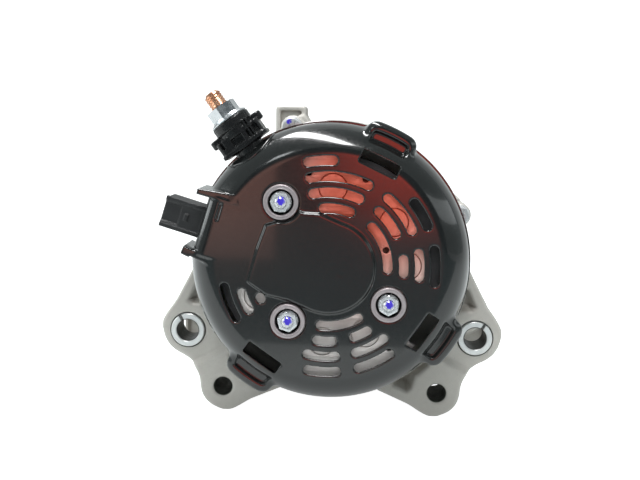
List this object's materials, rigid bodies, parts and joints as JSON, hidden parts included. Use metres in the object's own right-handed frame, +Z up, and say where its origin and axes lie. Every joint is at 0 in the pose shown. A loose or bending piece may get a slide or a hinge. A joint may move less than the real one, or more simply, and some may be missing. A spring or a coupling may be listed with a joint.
{
  "type": "car alternator",
  "caption": "Internally fanned car alternator with a glossy slotted rear cover, radial battery stud, side connector, cast mounting ears and a ribbed clutch pulley.",
  "frame": {"origin": "on the shaft axis, at the flat plateau of the rear cover", "axes": "+Y along the shaft towards the pulley, +Z up as mounted, +X to the right seen from the rear"},
  "size_m": [0.164, 0.1521, 0.1541],
  "materials": {
    "black_moulding": "glossy black moulded cover",
    "black_plastic": "satin black glass-filled plastic",
    "grey_plastic": "dark grey glass-filled plastic",
    "cast_aluminium": "matte die cast, machined on the ear faces",
    "sheet_aluminium": "satin rolled sheet",
    "diode_case": "satin pressed diode case",
    "zinc_steel": "bright zinc plate",
    "collar_steel": "turned steel",
    "bearing_steel": "ground steel",
    "dark_steel": "dark phosphated steel",
    "lamination": "stacked electrical steel with varnish",
    "copper": "bright copper",
    "winding_copper": "enamelled copper under varnish",
    "carbon": "graphite brush",
    "bushing_steel": "light zinc-plated split bushing"
  },
  "bodies": {
    "housing": {"rear_cover": "black_moulding", "cover_nut_1": "zinc_steel", "cover_nut_2": "zinc_steel", "cover_nut_3": "zinc_steel", "cover_collar_1": "collar_steel", "cover_collar_2": "collar_steel", "cover_collar_3": "collar_steel", "positive_heat_sink": "sheet_aluminium", "positive_diode_1": "diode_case", "positive_diode_2": "diode_case", "positive_diode_3": "diode_case", "positive_diode_4": "diode_case", "positive_diode_5": "diode_case", "positive_diode_6": "diode_case", "negative_heat_sink": "sheet_aluminium", "rectifier_terminal_block": "grey_plastic", "regulator_body": "black_plastic", "connector_terminals": "copper", "brush_holder": "grey_plastic", "brush_spring_1": "bearing_steel", "brush_spring_2": "bearing_steel", "battery_stud": "copper", "battery_nut": "zinc_steel", "battery_insulator": "black_plastic", "rear_end_frame": "cast_aluminium", "drive_end_frame": "cast_aluminium", "through_bolt_1": "zinc_steel", "through_bolt_2": "zinc_steel", "through_bolt_3": "zinc_steel", "through_bolt_4": "zinc_steel", "stator_core": "lamination", "stator_winding": "winding_copper", "front_bearing_outer_race": "bearing_steel", "rear_bearing_outer_race": "bearing_steel", "bearing_retainer_plate": "zinc_steel", "retainer_screw_1": "zinc_steel", "retainer_screw_2": "zinc_steel", "retainer_screw_3": "zinc_steel", "retainer_screw_4": "zinc_steel"},
    "rotor": {"rotor_shaft": "bearing_steel", "front_pole_core": "dark_steel", "rear_pole_core": "dark_steel", "field_coil": "winding_copper", "front_fan": "dark_steel", "rear_fan": "dark_steel", "slip_ring_1": "copper", "slip_ring_2": "copper", "slip_ring_insulator": "black_plastic", "front_bearing_inner_race": "bearing_steel", "rear_bearing_inner_race": "bearing_steel", "pulley_hub": "bearing_steel", "clutch_rollers": "bearing_steel"},
    "pulley": {"pulley_ring": "dark_steel", "pulley_cap": "black_plastic"},
    "front_cage": {"front_ball_cage": "bearing_steel"},
    "rear_cage": {"rear_ball_cage": "bearing_steel"},
    "first_brush": {"brush_1": "carbon"},
    "second_brush": {"brush_2": "carbon"},
    "left_bushing": {"mount_bushing_left": "bushing_steel"},
    "right_bushing": {"mount_bushing_right": "bushing_steel"}
  },
  "joints": [
    {"name": "rotor_spin", "type": "hinge", "parent": "housing", "child": "rotor", "pos_m": [0, 0.075, 0], "axis": [0, 1, 0], "continuous": true},
    {"name": "pulley_overrun", "type": "hinge", "parent": "rotor", "child": "pulley", "pos_m": [0, 0.1355, 0], "axis": [0, 1, 0], "continuous": true},
    {"name": "front_cage_spin", "type": "hinge", "parent": "housing", "child": "front_cage", "pos_m": [0, 0.1113, 0], "axis": [0, 1, 0], "continuous": true},
    {"name": "rear_cage_spin", "type": "hinge", "parent": "housing", "child": "rear_cage", "pos_m": [0, 0.0364, 0], "axis": [0, 1, 0], "continuous": true},
    {"name": "first_brush_slide", "type": "slide", "parent": "housing", "child": "first_brush", "axis": [-0.9578, 0, 0.2874], "range_m": [0, 0.006], "stiffness_N_per_m": 300, "springref_m": -0.01, "deforming": ["brush_spring_1"]},
    {"name": "second_brush_slide", "type": "slide", "parent": "housing", "child": "second_brush", "axis": [-0.9578, 0, 0.2874], "range_m": [0, 0.006], "stiffness_N_per_m": 300, "springref_m": -0.01, "deforming": ["brush_spring_2"]},
    {"name": "left_bushing_slide", "type": "slide", "parent": "housing", "child": "left_bushing", "axis": [0, 1, 0], "range_m": [0, 0.002]},
    {"name": "right_bushing_slide", "type": "slide", "parent": "housing", "child": "right_bushing", "axis": [0, 1, 0], "range_m": [0, 0.002]}
  ],
  "couplings": [
    {"joint": "front_cage_spin", "follows": "rotor_spin", "ratio": 0.3665},
    {"joint": "rear_cage_spin", "follows": "rotor_spin", "ratio": 0.3651}
  ]
}
